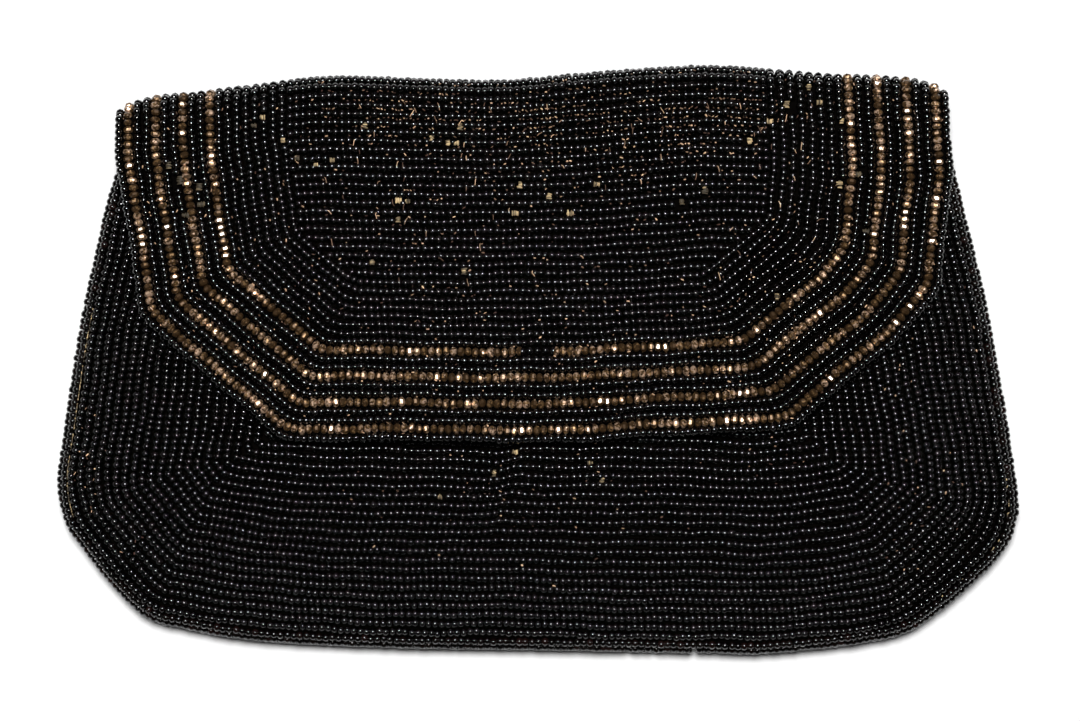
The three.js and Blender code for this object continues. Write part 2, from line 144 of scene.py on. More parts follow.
# Patches where thread shows between rows, each x, y, how wide, how tall, and the share at the middle
FLAP_THREAD_PATCHES = ((18.0, 42.0, 18.0, 9.0, 0.2),)
BODY_THREAD_PATCHES = (
    (-93.0, -18.0, 4.0, 14.0, 0.18), (-84.0, -42.0, 4.0, 4.0, 0.08), (74.5, -2.5, 2.0, 6.0, 0.3),
    (84.0, -26.0, 5.0, 5.0, 0.15), (76.0, -36.0, 8.0, 6.0, 0.1), (48.0, -19.0, 7.0, 4.0, 0.12),
    (0.0, -26.0, 26.0, 12.0, 0.07), (90.0, 10.0, 3.0, 12.0, 0.15),
)
# The band below the fold where most of the flap's thread shows, with painted glints of light on it: its
# level, its height, the share, and where it begins and ends, each with how softly. Elsewhere on the flap a
# small share shows, as painted glints off the glass.
BAND_Y, BAND_TALL, BAND_SHARE, BAND_LEFT, BAND_RIGHT = 50, 5.5, 0.5, (-55, 25), (62, 20)
ELSEWHERE_PAINTED_GLINT_SHARE = 0.08
# Where the seam's thread shows: which side, from and to which y, and the share
SEAM_STRETCHES, SEAM_FADE = ((-1, -36, 14, 0.85), (1, -52, -22, 0.25)), 6
# Sewing thread, in millimetres: one stitch, how far apart stitches lie, how high they lie over the
# beads' middle, the strands of a bare thread and the loose threads.
STITCH_LENGTH, STITCH_DIAMETER = 0.5, 0.22
SEAM_STITCH_PITCH, SEAM_STITCH_DEPTH, ROW_STITCH_PITCH, ROW_STITCH_HEIGHT = 0.5, 0.6, 0.75, 0.4
STRANDS, STRAND_RADIUS, STRAND_SPREAD, STRAND_LENGTHS, STRAND_DEPTHS = 8, 0.13, 0.6, (0.6, 1.5), (0.35, 0.6)
LOOSE_THREADS, LOOSE_THREAD_RADIUS, LOOSE_THREAD_LENGTHS = 150, 0.06, (0.9, 2.0)
LOOSE_LEFT, LOOSE_RIGHT, LOOSE_BOTTOM, LOOSE_TOP = -45, 60, 15, 53

# The stage: the soft light's place, size and power, the floor's tones, and the photograph's viewpoint.
# The photograph is 1080 by 721 pixels and the purse is 959 of them wide.
LIGHT_PLACE, LIGHT_SIZE, LIGHT_POWER = (-0.02, 0.19, 1.12), 0.33, 24.0
FLOOR_TONES, FLOOR_GLOW, ROOM_TONE = (0.57, 0.59), 0.02, 0.006
SENSOR_WIDTH, CAMERA_LENS, CAMERA_ELEVATION = 36.0, 100.0, 87.0
PHOTO_PIXELS, PHOTO_ROWS, PURSE_PIXELS = 1080, 721, 959
FRAME_WIDTH = PHOTO_PIXELS / PURSE_PIXELS * WIDTH * MM
CAMERA_AIM = Vector((0.5 * MM, 0.0, 4.8 * MM))


def shade(hexed):
    """A colour written as it looks on a screen, as the linear values that Blender keeps."""
    parts = [int(hexed[i:i + 2], 16) / 255 for i in (0, 2, 4)]
    return tuple(p / 12.92 if p <= 0.04045 else ((p + 0.055) / 1.055) ** 2.4 for p in parts)


def length(name, description, value, least, most):
    """A length to set, given in millimetres."""
    return FloatProperty(
        name=name, description=description, default=value * MM, min=least * MM, max=most * MM,
        unit="LENGTH", subtype="DISTANCE", precision=5)


def part_of_one(name, description, value, most):
    """A share to set."""
    return FloatProperty(
        name=name, description=description, default=value, min=0, max=most, subtype="FACTOR")


def colour(name, description, hexed):
    """A colour to set, given as it looks on a screen."""
    return FloatVectorProperty(
        name=name, description=description, default=shade(hexed), min=0, max=1, subtype="COLOR")


class PurseSizes(bpy.types.PropertyGroup):
    row_pitch: length("Row pitch", "From one row of beads to the next", 1.9, 1, 3)
    bead_pitch: length("Bead pitch", "From one bead to the next in a row", 1.33, 0.8, 3)
    bead_length: length("Bead length", "Length of a seed bead along its thread", 1.31, 0.5, 3)
    gold_diameter: length("Gold bead", "Diameter of a cut gold bead", 1.95, 1, 3)
    gold_pitch: length("Gold pitch", "From one gold bead to the next in a string", 1.5, 1, 3)
    unevenness: part_of_one("Unevenness", "How much the beads differ in size", 0.07, 0.3)
    missing: part_of_one("Missing", "Share of the beads that have come off", 0.001, 0.2)
    seed: IntProperty(
        name="Seed", description="Starting number for what is irregular", default=7, min=0)


class PurseColours(bpy.types.PropertyGroup):
    black_glass: colour("Black glass", "Colour of most black beads", "010101")
    brown_glass: colour("Brown glass", "Colour of the palest black beads", "030202")
    # From bead to bead the gold beads' tone is their own; from facet to facet it is painted reflection and
    # glint.
    gold_glass: colour("Gold glass", "Colour of the darker facets of the gold beads", "48341f")
    copper_glass: colour("Copper glass", "Colour of the brighter facets of the gold beads", "90704a")
    # The cloth's near-black colour is painted shade between the beads.
    cloth: colour("Cloth", "Colour of the cloth under the beads", "020101")
    thread: colour("Thread", "Colour of the sewing thread", "bfa67c")


def smoothstep(t):
    s = np.clip(t, 0, 1)
    return s * s * (3 - 2 * s)


def catmull(points, per_span):
    """Points on the smooth curve through a chain of points, and the way that it runs at each."""
    padded = np.vstack([points[:1], points, points[-1:]])
    spans = len(points) - 1
    at = np.arange(spans * per_span + 1) / per_span
    i = np.minimum(at.astype(int), spans - 1)
    t = (at - i)[:, None]
    p0, p1, p2, p3 = (padded[i + k] for k in range(4))
    a, b = (p2 - p0) / 2, (p3 - p1) / 2
    c3, c2 = 2 * p1 - 2 * p2 + a + b, 3 * p2 - 3 * p1 - 2 * a - b
    along = 3 * c3 * t * t + 2 * c2 * t + a
    along /= np.linalg.norm(along, axis=1)[:, None]
    return ((c3 * t + c2) * t + a) * t + p1, along


EDGE, edge_along = catmull(BODY_EDGE, 24)
INWARD = np.stack([-edge_along[:, 1], edge_along[:, 0]], axis=1)
INWARD[0], INWARD[-1] = (1, 0), (-1, 0)
MOUTH_Y = EDGE[0, 1]
lowest, leftmost, rightmost = EDGE[:, 1].argmin(), EDGE[:, 0].argmin(), EDGE[:, 0].argmax()
LEFT_SIDE, RIGHT_SIDE = EDGE[lowest::-1], EDGE[lowest:]
BOTTOM_SIDE = EDGE[leftmost:rightmost + 1]


def back_lift(y):
    return BACK_LIFT * smoothstep(1 - (MOUTH_Y - y) / BACK_LIFT_RUN)


def swell(distance, run):
    return 1 - (1 - np.clip(distance / run, 0, 1)) ** CROWN_POWER


def front_height(x, y_asked):
    """Height of the front panel's outer face."""
    y = np.minimum(y_asked, MOUTH_Y)
    left = np.interp(y, LEFT_SIDE[:, 1], LEFT_SIDE[:, 0])
    right = np.interp(y, RIGHT_SIDE[:, 1], RIGHT_SIDE[:, 0])
    from_side = np.minimum(x - left, right - x)
    from_bottom = y - np.interp(x, BOTTOM_SIDE[:, 0], BOTTOM_SIDE[:, 1])
    from_mouth = MOUTH_SHARE + (1 - MOUTH_SHARE) * smoothstep((MOUTH_Y - y) / CROWN_MOUTH_RUN)
    crown = swell(from_side - SEAM_INSET, CROWN_SIDE_RUN) * swell(from_bottom - SEAM_INSET, CROWN_BOTTOM_RUN)
    return SEAM_HEIGHT + back_lift(y) + CROWN_RISE * crown * from_mouth


def flap_height(x, y):
    """Height of the flap's outer face, which leaves room for the snap."""
    away = ((x - SNAP_AT[0]) / SNAP_SWELL[0]) ** 2 + ((y - SNAP_AT[1]) / SNAP_SWELL[1]) ** 2
    room = SNAP_THICKNESS + 2.25 * GAP - FLAP_CLEARANCE
    return front_height(x, y) + FLAP_CLEARANCE + room * np.exp(-away / 2) + WALL


def seen_on(height, gaps, margin):
    """Where the photograph's pixels lie on a face, to 0.1 mm: x, y, reach and paleness."""
    lean, frame_width = math.radians(CAMERA_ELEVATION), FRAME_WIDTH / MM
    pixel = frame_width / PHOTO_PIXELS
    back = np.array([0.0, -math.cos(lean), math.sin(lean)])
    up = np.array([0.0, math.sin(lean), math.cos(lean)])
    aim = np.array(CAMERA_AIM) / MM
    camera = aim + back * (frame_width * CAMERA_LENS / SENSOR_WIDTH)
    places = []
    for u, v, across, paleness in gaps:
        right = np.array([(u - PHOTO_PIXELS / 2) * pixel, 0.0, 0.0])
        way = aim + right + up * (PHOTO_ROWS / 2 - v) * pixel - camera
        z = SEAM_HEIGHT
        for _ in range(12):
            x, y = (camera + way * (z - camera[2]) / way[2])[:2]
            z = height(np.array([x]), np.array([y]))[0]
        reach = across / 2 * WIDTH / PURSE_PIXELS + margin
        places.append((round(float(x), 1), round(float(y), 1), round(reach, 1), paleness))
    return tuple(places)


FLAP_GAPS = seen_on(flap_height, FLAP_GAPS_SEEN, FLAP_GAP_MARGIN)
BODY_GAPS = seen_on(front_height, BODY_GAPS_SEEN, BODY_GAP_MARGIN)
RIM_GAPS = seen_on(front_height, RIM_GAPS_SEEN, BODY_GAP_MARGIN)
STAND_IN = seen_on(flap_height, [(*STAND_IN_SEEN, 0, 0)], STAND_IN_REACH)[0][:3]


def on_face(height, plan, under):
    """Points under a face z = height(x, y), measured square to it, and the face's normals there."""
    x, y = plan[:, 0], plan[:, 1]
    reach = 1.2
    normals = np.stack([
        (height(x - reach, y) - height(x + reach, y)) / (2 * reach),
        (height(x, y - reach) - height(x, y + reach)) / (2 * reach),
        np.ones_like(x)], axis=1)
    normals /= np.linalg.norm(normals, axis=1)[:, None]
    return np.stack([x, y, height(x, y)], axis=1) - normals * under, normals


def fold_y(x):
    """The fold's outermost line: a smooth curve with the slope of each point's two neighbours."""
    px, py = FOLD_LINE[:, 0], FOLD_LINE[:, 1]
    last = len(px) - 1
    before, after = np.maximum(np.arange(last + 1) - 1, 0), np.minimum(np.arange(last + 1) + 1, last)
    slopes = (py[after] - py[before]) / (px[after] - px[before])
    at = np.clip(x, px[0], px[-1])
    i = np.clip(np.searchsorted(px, at, side="right") - 1, 0, last - 1)
    run, rise = px[i + 1] - px[i], py[i + 1] - py[i]
    t = (at - px[i]) / run
    a, b = slopes[i] * run, slopes[i + 1] * run
    return py[i] + t * (a + t * (3 * rise - 2 * a - b + t * (a + b - 2 * rise)))


def shoulder_y(x):
    return fold_y(x) - FOLD_RADIUS


def wander(plan):
    """How far the sewing strays from its line, in millimetres, from a few long and short waves."""
    x, y = plan[:, 0], plan[:, 1]
    return np.stack([
        sum(far * np.sin(with_x * x + with_y * y + start) for far, with_x, with_y, start in waves)
        for waves in (STRAY_ACROSS, STRAY_ALONG)], axis=1)


def crossing(p, along, q, other):
    """Where two lines meet, each through a point in a direction."""
    t = ((q[0] - p[0]) * other[1] - (q[1] - p[1]) * other[0]) / (along[0] * other[1] - along[1] * other[0])
    return p + along * t


def flap_inset(distance):
    """The flap's edge moved inward, with its corners mitred and its ends on the fold's shoulder."""
    alongs = np.diff(FLAP_EDGE, axis=0)
    alongs /= np.linalg.norm(alongs, axis=1)[:, None]
    inward = np.stack([-alongs[:, 1], alongs[:, 0]], axis=1)
    starts = FLAP_EDGE[:-1] + inward * distance * FLAP_SPREADS[:-1, None]

    def on_shoulder(i):
        end = starts[i]
        for _ in range(3):
            end = crossing(starts[i], alongs[i], np.array([end[0], shoulder_y(end[0])]), np.array([1.0, 0.0]))
        return end

    corners = [crossing(starts[i], alongs[i], starts[i + 1], alongs[i + 1]) for i in range(len(starts) - 1)]
    return [on_shoulder(0), *corners, on_shoulder(len(starts) - 1)]


def fold_path(x, under):
    """The flap's way round the fold at x, from the shoulder to the back's top edge: points and normals."""
    low = BACK_LIFT + FOLD_RADIUS
    y = shoulder_y(x)
    high = flap_height(x, y) - FOLD_RADIUS
    reach = FOLD_RADIUS - under
    points, normals = [], []
    for middle, turns in ((high, range(180, 89, -10)), (low, range(90, -1, -10))):
        for turn in turns:
            s, c = math.sin(math.radians(turn)), math.cos(math.radians(turn))
            points.append((x, y + reach * s, middle - reach * c))
            normals.append((0, s, -c))
    points.append((x, MOUTH_Y + GAP, BACK_LIFT + under))
    normals.append((0, 0, -1))
    return np.array(points), np.array(normals)


class Rows:
    """Rows to sew along: points, the face's normal at each, the share of the sewing there, and its tone."""

    def __init__(self):
        self.points, self.normals, self.keep, self.tones, self.edges = [], [], [], [], []
        self.count = 0

    def add(self, points, normals, gaps=(), shown=None, share=1.0, tone=0.5):
        keep = np.ones(len(points)) * share
        for x, y, reach, _ in gaps:
            keep[np.hypot(points[:, 0] - x, points[:, 1] - y) < reach] = 0
        shown = np.ones(len(points), bool) if shown is None else shown
        ends = np.flatnonzero(np.diff(np.concatenate([[False], shown, [False]]).astype(int)))
        for start, stop in ends.reshape(-1, 2):
            if stop - start < 3:
                continue
            self.points.append(points[start:stop])
            self.normals.append(normals[start:stop])
            self.keep.append(keep[start:stop])
            self.tones.append(np.full(stop - start, tone))
            line = np.arange(self.count, self.count + stop - start - 1)
            self.edges.append(np.stack([line, line + 1], axis=1))
            self.count += stop - start

    def mesh(self, name):
        mesh = bpy.data.meshes.new(name)
        points = np.concatenate(self.points) * MM
        mesh.from_pydata(points.tolist(), np.concatenate(self.edges).tolist(), [])
        up = mesh.attributes.new("up", "FLOAT_VECTOR", "POINT")
        up.data.foreach_set("vector", np.concatenate(self.normals).astype(np.float32).ravel())
        for title, values in (("keep", self.keep), ("tone", self.tones)):
            held = mesh.attributes.new(title, "FLOAT", "POINT")
            held.data.foreach_set("value", np.concatenate(values).astype(np.float32))
        return mesh


def dense(points, step=0.5):
    """A chain of points with more between them, about a step apart."""
    out = [points[:1]]
    for a, b in zip(points[:-1], points[1:]):
        count = max(1, int(round(np.linalg.norm(b - a) / step)))
        out.append(a + (b - a) * (np.arange(1, count + 1) / count)[:, None])
    return np.concatenate(out)


def rounded(corners, radius):
    """A chain of corners with each inner one rounded."""
    out = [corners[:1]]
    for a, b, c in zip(corners[:-2], corners[1:-1], corners[2:]):
        before, after = np.linalg.norm(b - a), np.linalg.norm(c - b)
        turn = math.acos(np.clip((b - a) @ (c - b) / before / after, -1, 1))
        reach = min(radius * math.tan(turn / 2), 0.45 * before, 0.45 * after)
        start, end = b + (a - b) * reach / before, b + (c - b) * reach / after
        t = np.linspace(0, 1, 7)[:, None]
        out.append(start * (1 - t) ** 2 + 2 * b * t * (1 - t) + end * t ** 2)
    return np.concatenate([*out, corners[-1:]])


def edge_distance(plan):
    """Distance of each point to the body's edge."""
    return np.min(np.linalg.norm(plan[:, None, :] - EDGE[None, :, :], axis=2), axis=1)


def inside_flap(plan, inset):
    """Which points lie inside the flap's edge moved inward."""
    corners = np.array(flap_inset(inset))
    corners[0, 1] = corners[-1, 1] = HEIGHT
    inside = np.ones(len(plan), bool)
    for a, b in zip(corners[:-1], corners[1:]):
        along = b - a
        inside &= (plan[:, 1] - a[1]) * along[0] - (plan[:, 0] - a[0]) * along[1] > 0
    return inside


def crease(plan):
    """The ruck below the flap: how far the rows step up, and how deep the dip is."""
    x, y = plan[:, 0], plan[:, 1]
    lean = CREASE_X + CREASE_LEAN * (y - CREASE_Y)
    strength = smoothstep((y - CREASE_BOTTOM) / CREASE_FADE)
    step = CREASE_STEP * strength * smoothstep((x - lean) / CREASE_RUN + 0.5)
    return step, CREASE_DIP * strength * np.exp(-((x - lean) / 3) ** 2)


def body_row(distance):
    """A row on the front panel at a distance inward from the body's edge."""
    plan = EDGE + INWARD * distance
    plan = plan[edge_distance(plan) > distance - 0.03]
    plan = dense(plan)
    step, dip = crease(plan)
    plan = plan + wander(plan)
    plan[:, 1] += step
    points, normals = on_face(front_height, plan, BEAD / 2)
    points[:, 2] -= dip
    shown = ~inside_flap(plan, UNDER_FLAP) & (plan[:, 1] < MOUTH_Y - 0.6)
    return points, normals, shown


def rim_row(angle, reach=RIM_RADIUS - BEAD / 2):
    """A row on the back panel's curled rim."""
    turn = math.radians(angle)
    plan = EDGE + INWARD * (RIM_RADIUS - reach * math.sin(turn))
    z = RIM_RADIUS - reach * math.cos(turn) + back_lift(EDGE[:, 1])
    normals = np.column_stack([-INWARD * math.sin(turn), np.full(len(EDGE), -math.cos(turn))])
    return np.column_stack([plan, z]), normals


def flap_ring(distance):
    """A row that follows the flap's edge, and goes over the fold at both ends."""
    plan = dense(rounded(np.array(flap_inset(distance)), FLAP_CORNER_RADIUS))
    ends = [plan[0], plan[-1]]
    plan = plan + wander(plan) * smoothstep((shoulder_y(plan[:, 0]) - plan[:, 1]) / 8)[:, None]
    front, up = on_face(flap_height, plan, BEAD / 2)
    (p0, n0), (p1, n1) = (fold_path(end[0], BEAD / 2) for end in ends)
    points = np.concatenate([p0[:0:-1], front, p1[1:]])
    normals = np.concatenate([n0[:0:-1], up, n1[1:]])
    return points, normals


def stands_in(points):
    """Which points of the innermost gold string carry black beads."""
    x, y, reach = STAND_IN
    return np.hypot(points[:, 0] - x, points[:, 1] - y) < reach


def flap_level_rows(pitch):
    """The level rows that fill the middle of the flap, and go on down the fold to the back's top edge."""
    foot = np.array(flap_inset(FLAP_RINGS * pitch))
    left, bottom, right = foot[3::-1], foot[3:6], foot[5:]
    xs = np.arange(foot[:, 0].min(), foot[:, 0].max(), 0.25)
    base = np.interp(xs, bottom[:, 0], bottom[:, 1])
    top = shoulder_y(xs)
    rows = int(round((top.mean() - bottom[:, 1].min()) / pitch))
    out = []
    for j in range(rows):
        share = (j + 0.5) / rows
        plan = np.stack([xs, base + (top - base) * share], axis=1)
        shown = (xs > np.interp(plan[:, 1], left[:, 1], left[:, 0]) + LEVEL_ROW_END) & (
            xs < np.interp(plan[:, 1], right[:, 1], right[:, 0]) - LEVEL_ROW_END)
        points, normals = on_face(flap_height, plan + wander(plan) * (1 - share), BEAD / 2)
        out.append((points, normals, shown))
    paths = [fold_path(x, BEAD / 2) for x in xs]
    lengths = [np.concatenate([[0], np.cumsum(np.linalg.norm(np.diff(p, axis=0), axis=1))]) for p, _ in paths]
    total = min(length[-1] for length in lengths)
    over_fold = (xs > foot[0, 0] + LEVEL_ROW_END) & (xs < foot[-1, 0] - LEVEL_ROW_END)
    for j in range(int(total / pitch)):
        at = (j + 0.5) * pitch
        line = [
            [np.interp(at, s, source[:, k]) for source in (p, n) for k in range(3)]
            for (p, n), s in zip(paths, lengths)]
        line = np.array(line)
        out.append((line[:, :3], line[:, 3:], over_fold))
    return out


# Node trees

def add(tree, kind, inputs=None, **settings):
    """A new node with its settings and with its inputs set or linked."""
    node = tree.nodes.new(kind)
    for key, value in settings.items():
        setattr(node, key, value)
    for key, value in (inputs or {}).items():
        if isinstance(value, bpy.types.NodeSocket):
            tree.links.new(value, node.inputs[key])
        else:
            node.inputs[key].default_value = value
    return node


def new_group(name, kind, inputs, outputs):
    """A tree with named inputs, each given as name, kind and default, and named outputs. Returns the
    tree and the sockets that its inputs arrive on."""
    tree = bpy.data.node_groups.new(name, kind)
    for title, sort, default in inputs:
        socket = tree.interface.new_socket(name=title, in_out="INPUT", socket_type="NodeSocket" + sort)
        if default is not None:
            socket.default_value = default
    for title, sort in outputs:
        tree.interface.new_socket(name=title, in_out="OUTPUT", socket_type="NodeSocket" + sort)
    return tree, tree.nodes.new("NodeGroupInput").outputs


def give_out(tree, **results):
    """Links a tree's outputs."""
    out = tree.nodes.new("NodeGroupOutput")
    for title, result in results.items():
        tree.links.new(result, out.inputs[title])
    return tree


def maths(tree, operation, *values):
    """One sum on numbers or sockets."""
    return add(tree, "ShaderNodeMath", dict(enumerate(values)), operation=operation).outputs[0]


def ranged(tree, value, low, high, least=0.0, most=1.0):
    """A number moved from one range into another."""
    values = dict(enumerate((value, low, high, least, most)))
    return add(tree, "ShaderNodeMapRange", values).outputs[0]


def noise(tree, scale, detail=2.0):
    """Soft noise on the piece's own place."""
    place = add(tree, "ShaderNodeTexCoord").outputs["Object"]
    return add(tree, "ShaderNodeTexNoise", {"Vector": place, "Scale": scale, "Detail": detail}).outputs[0]


def blended(tree, share, low, high):
    """A colour between two others, each a socket or a linear colour."""
    low, high = (c if isinstance(c, bpy.types.NodeSocket) else (*c, 1) for c in (low, high))
    return add(tree, "ShaderNodeMix", {0: share, 6: low, 7: high}, data_type="RGBA").outputs[2]


def placed_real(tree, geometry, finish):
    """Ends a tree: instances made real, with their material."""
    real = add(tree, "GeometryNodeRealizeInstances", {"Geometry": geometry}).outputs[0]
    return add(tree, "GeometryNodeSetMaterial", {"Geometry": real, "Material": finish}).outputs[0]


def sewn_rows_tree():
    """Sews one small shape again and again along rows, a little unevenly."""
    tree, given = new_group("sewn_rows", "GeometryNodeTree", [
        ("Rows", "Geometry", None), ("Shape", "Object", None), ("Pitch", "Float", 1.33 * MM),
        ("Unevenness", "Float", 0.07), ("Stray", "Float", 0.05 * MM), ("Tilt", "Float", 0.12),
        ("Spin", "Float", 0.0), ("Missing", "Float", 0.004), ("Seed", "Int", 7),
        ("Finish", "Material", None),
    ], [("Sewn", "Geometry")])

    def seeded(offset):
        return maths(tree, "ADD", given["Seed"], float(offset))

    def drawn(low, high, offset):
        values = {2: low, 3: high, "Seed": seeded(offset)}
        return add(tree, "FunctionNodeRandomValue", values, data_type="FLOAT").outputs[1]

    def both_ways(socket, offset):
        least = maths(tree, "MULTIPLY", socket, -1.0)
        low, high = (
            add(tree, "ShaderNodeCombineXYZ", {0: end, 1: end, 2: end}).outputs[0] for end in (least, socket))
        values = {0: low, 1: high, "Seed": seeded(offset)}
        return add(tree, "FunctionNodeRandomValue", values, data_type="FLOAT_VECTOR").outputs[0]

    curves = add(tree, "GeometryNodeMeshToCurve", {"Mesh": given["Rows"]})
    spaced = add(tree, "GeometryNodeResampleCurve", {"Curve": curves.outputs[0], "Length": given["Pitch"]},
                 mode="LENGTH")
    strayed = add(tree, "GeometryNodeSetPosition", {
        "Geometry": spaced.outputs[0], "Offset": both_ways(given["Stray"], 1)})
    up = add(tree, "GeometryNodeInputNamedAttribute", {"Name": "up"}, data_type="FLOAT_VECTOR")
    keep = add(tree, "GeometryNodeInputNamedAttribute", {"Name": "keep"}, data_type="FLOAT")
    share = maths(tree, "MULTIPLY", keep.outputs[0], maths(tree, "SUBTRACT", 1.0, given["Missing"]))
    chosen = add(tree, "FunctionNodeCompare", {0: drawn(0.0, 1.0, 2), 1: share},
                 data_type="FLOAT", operation="LESS_THAN")
    along = add(tree, "GeometryNodeInputTangent")
    aimed = add(tree, "FunctionNodeAxesToRotation", {
        "Primary Axis": along.outputs[0], "Secondary Axis": up.outputs[0]},
        primary_axis="X", secondary_axis="Z")
    tilt = add(tree, "FunctionNodeEulerToRotation", {0: both_ways(given["Tilt"], 3)})
    tilted = add(tree, "FunctionNodeRotateRotation", {
        "Rotation": aimed.outputs[0], "Rotate By": tilt.outputs[0]}, rotation_space="LOCAL")
    spin = drawn(maths(tree, "MULTIPLY", given["Spin"], -1.0), given["Spin"], 4)
    about = add(tree, "FunctionNodeAxisAngleToRotation", {"Axis": (1.0, 0.0, 0.0), "Angle": spin})
    turned = add(tree, "FunctionNodeRotateRotation", {
        "Rotation": tilted.outputs[0], "Rotate By": about.outputs[0]}, rotation_space="LOCAL")
    size = add(tree, "ShaderNodeVectorMath", {0: both_ways(given["Unevenness"], 5), 1: (1.0, 1.0, 1.0)},
               operation="ADD")
    shape = add(tree, "GeometryNodeObjectInfo", {"Object": given["Shape"], "As Instance": True})
    placed = add(tree, "GeometryNodeInstanceOnPoints", {
        "Points": strayed.outputs[0], "Selection": chosen.outputs[0], "Instance": shape.outputs["Geometry"],
        "Rotation": turned.outputs[0], "Scale": size.outputs[0]})
    toned = add(tree, "GeometryNodeStoreNamedAttribute", {
        "Geometry": placed.outputs[0], "Name": "tone", "Value": drawn(0.0, 1.0, 6)},
        data_type="FLOAT", domain="INSTANCE")
    return give_out(tree, Sewn=placed_real(tree, toned.outputs[0], given["Finish"]))


def fibres_tree():
    """Turns lines into thin round fibres."""
    tree, given = new_group("fibres", "GeometryNodeTree", [
        ("Lines", "Geometry", None), ("Radius", "Float", 0.05 * MM), ("Finish", "Material", None),
    ], [("Fibres", "Geometry")])
    curves = add(tree, "GeometryNodeMeshToCurve", {"Mesh": given["Lines"]})
    profile = add(tree, "GeometryNodeCurvePrimitiveCircle", {"Resolution": 4, "Radius": given["Radius"]})
    tubes = add(tree, "GeometryNodeCurveToMesh", {
        "Curve": curves.outputs[0], "Profile Curve": profile.outputs[0], "Fill Caps": True})
    return give_out(tree, Fibres=placed_real(tree, tubes.outputs[0], given["Finish"]))


def linked(name, data):
    """A new object in the scene."""
    thing = bpy.data.objects.new(name, data)
    bpy.context.collection.objects.link(thing)
    return thing


def made_with(name, lines, tree, values):
    """A plain mesh object from lines and a tree, with the tree's inputs set by name."""
    source = linked(name + "_lines", lines)
    modifier = source.modifiers.new("tree", "NODES")
    modifier.node_group = tree
    for item in tree.interface.items_tree:
        if item.in_out == "INPUT" and item.name in values:
            modifier[item.identifier] = values[item.name]
    graph = bpy.context.evaluated_depsgraph_get()
    mesh = bpy.data.meshes.new_from_object(
        source.evaluated_get(graph), preserve_all_data_layers=True, depsgraph=graph)
    mesh.name = name
    bpy.data.objects.remove(source)
    if not mesh.polygons:
        raise RuntimeError(name + " came out empty")
    if mesh.materials[0] is None:
        mesh.materials.pop(index=0)
    return linked(name, mesh)


# Small shapes that are sewn on

def lathe_shape(name, rings, sides, smooth):
    """A closed shape turned about X, from rings of (x, radius) with a pole at each end."""
    points = [(rings[0][0], 0, 0)]
    for x, radius in rings[1:-1]:
        for k in range(sides):
            angle = 2 * math.pi * k / sides
            points.append((x, radius * math.cos(angle), radius * math.sin(angle)))
    points.append((rings[-1][0], 0, 0))
    faces = []
    last = len(points) - 1
    for k in range(sides):
        after = (k + 1) % sides
        faces.append((0, 1 + after, 1 + k))
        for i in range(len(rings) - 3):
            a, b = 1 + i * sides, 1 + (i + 1) * sides
            faces.append((a + k, a + after, b + after, b + k))
        end = 1 + (len(rings) - 3) * sides
        faces.append((end + k, end + after, last))
    mesh = bpy.data.meshes.new(name)
    mesh.from_pydata([tuple(c * MM for c in p) for p in points], [], faces)
    mesh.polygons.foreach_set("use_smooth", [smooth] * len(faces))
    return linked(name, mesh)


def turned_shape(name, length, diameter, outline, sides, smooth):
    """A lathe shape from its length, its diameter and its outline as shares of half of each."""
    half, radius = length / 2, diameter / 2
    rings = [(-half, 0), *((x * half, r * radius) for x, r in outline), (half, 0)]
    return lathe_shape(name, rings, sides, smooth)


def seed_bead(name, length, sides):
    return turned_shape(name, length / MM, BEAD, ((-0.88, 0.78), (0, 1), (0.88, 0.78)), sides, True)


def cut_bead(name, length, diameter):
    outline = ((-0.85, 0.62), (-0.3, 1), (0.35, 0.98), (0.85, 0.6))
    return turned_shape(name, length / MM, diameter / MM, outline, 7, False)


def stitch(name):
    return turned_shape(name, STITCH_LENGTH, STITCH_DIAMETER, ((-0.8, 0.8), (0, 1), (0.8, 0.8)), 5, True)


# Finishes

def tone_group():
    """Colour from bead to bead, and from facet to facet as painted reflections and glints in the glass, with
    dust in patches.
    """
    tree, given = new_group("bead_tones", "ShaderNodeTree", [
        ("Most", "Color", None), ("Some", "Color", None), ("Few", "Color", None), ("Dust", "Color", None),
        ("Dust share", "Float", 0.2), ("Gloss", "Float", 0.1), ("Painted glints", "Float", 0.0),
    ], [("Colour", "Color"), ("Roughness", "Float")])
    place = add(tree, "ShaderNodeTexCoord").outputs["Object"]
    facets = add(tree, "ShaderNodeTexVoronoi", {"Vector": place, "Scale": 2600.0}).outputs["Color"]
    facet = add(tree, "ShaderNodeSeparateColor", {"Color": facets}).outputs["Red"]
    tone = add(tree, "ShaderNodeAttribute", attribute_name="tone").outputs["Fac"]
    # Each facet's tone is pushed up or down by a share: painted reflections and glints inside the glass.
    tone = maths(tree, "MULTIPLY_ADD", maths(tree, "SUBTRACT", facet, 0.5), given["Painted glints"], tone)
    clean = blended(tree, ranged(tree, tone, 0.45, 0.85), given["Most"], given["Some"])
    clean = blended(tree, ranged(tree, tone, 0.88, 0.96), clean, given["Few"])
    dusty = maths(tree, "MULTIPLY", noise(tree, 90.0, 3.0), noise(tree, 2200.0))
    dust = maths(tree, "MULTIPLY", ranged(tree, dusty, 0.22, 0.42), given["Dust share"])
    return give_out(tree, Colour=blended(tree, dust, clean, given["Dust"]),
                    Roughness=maths(tree, "MULTIPLY_ADD", dust, 0.5, given["Gloss"]))


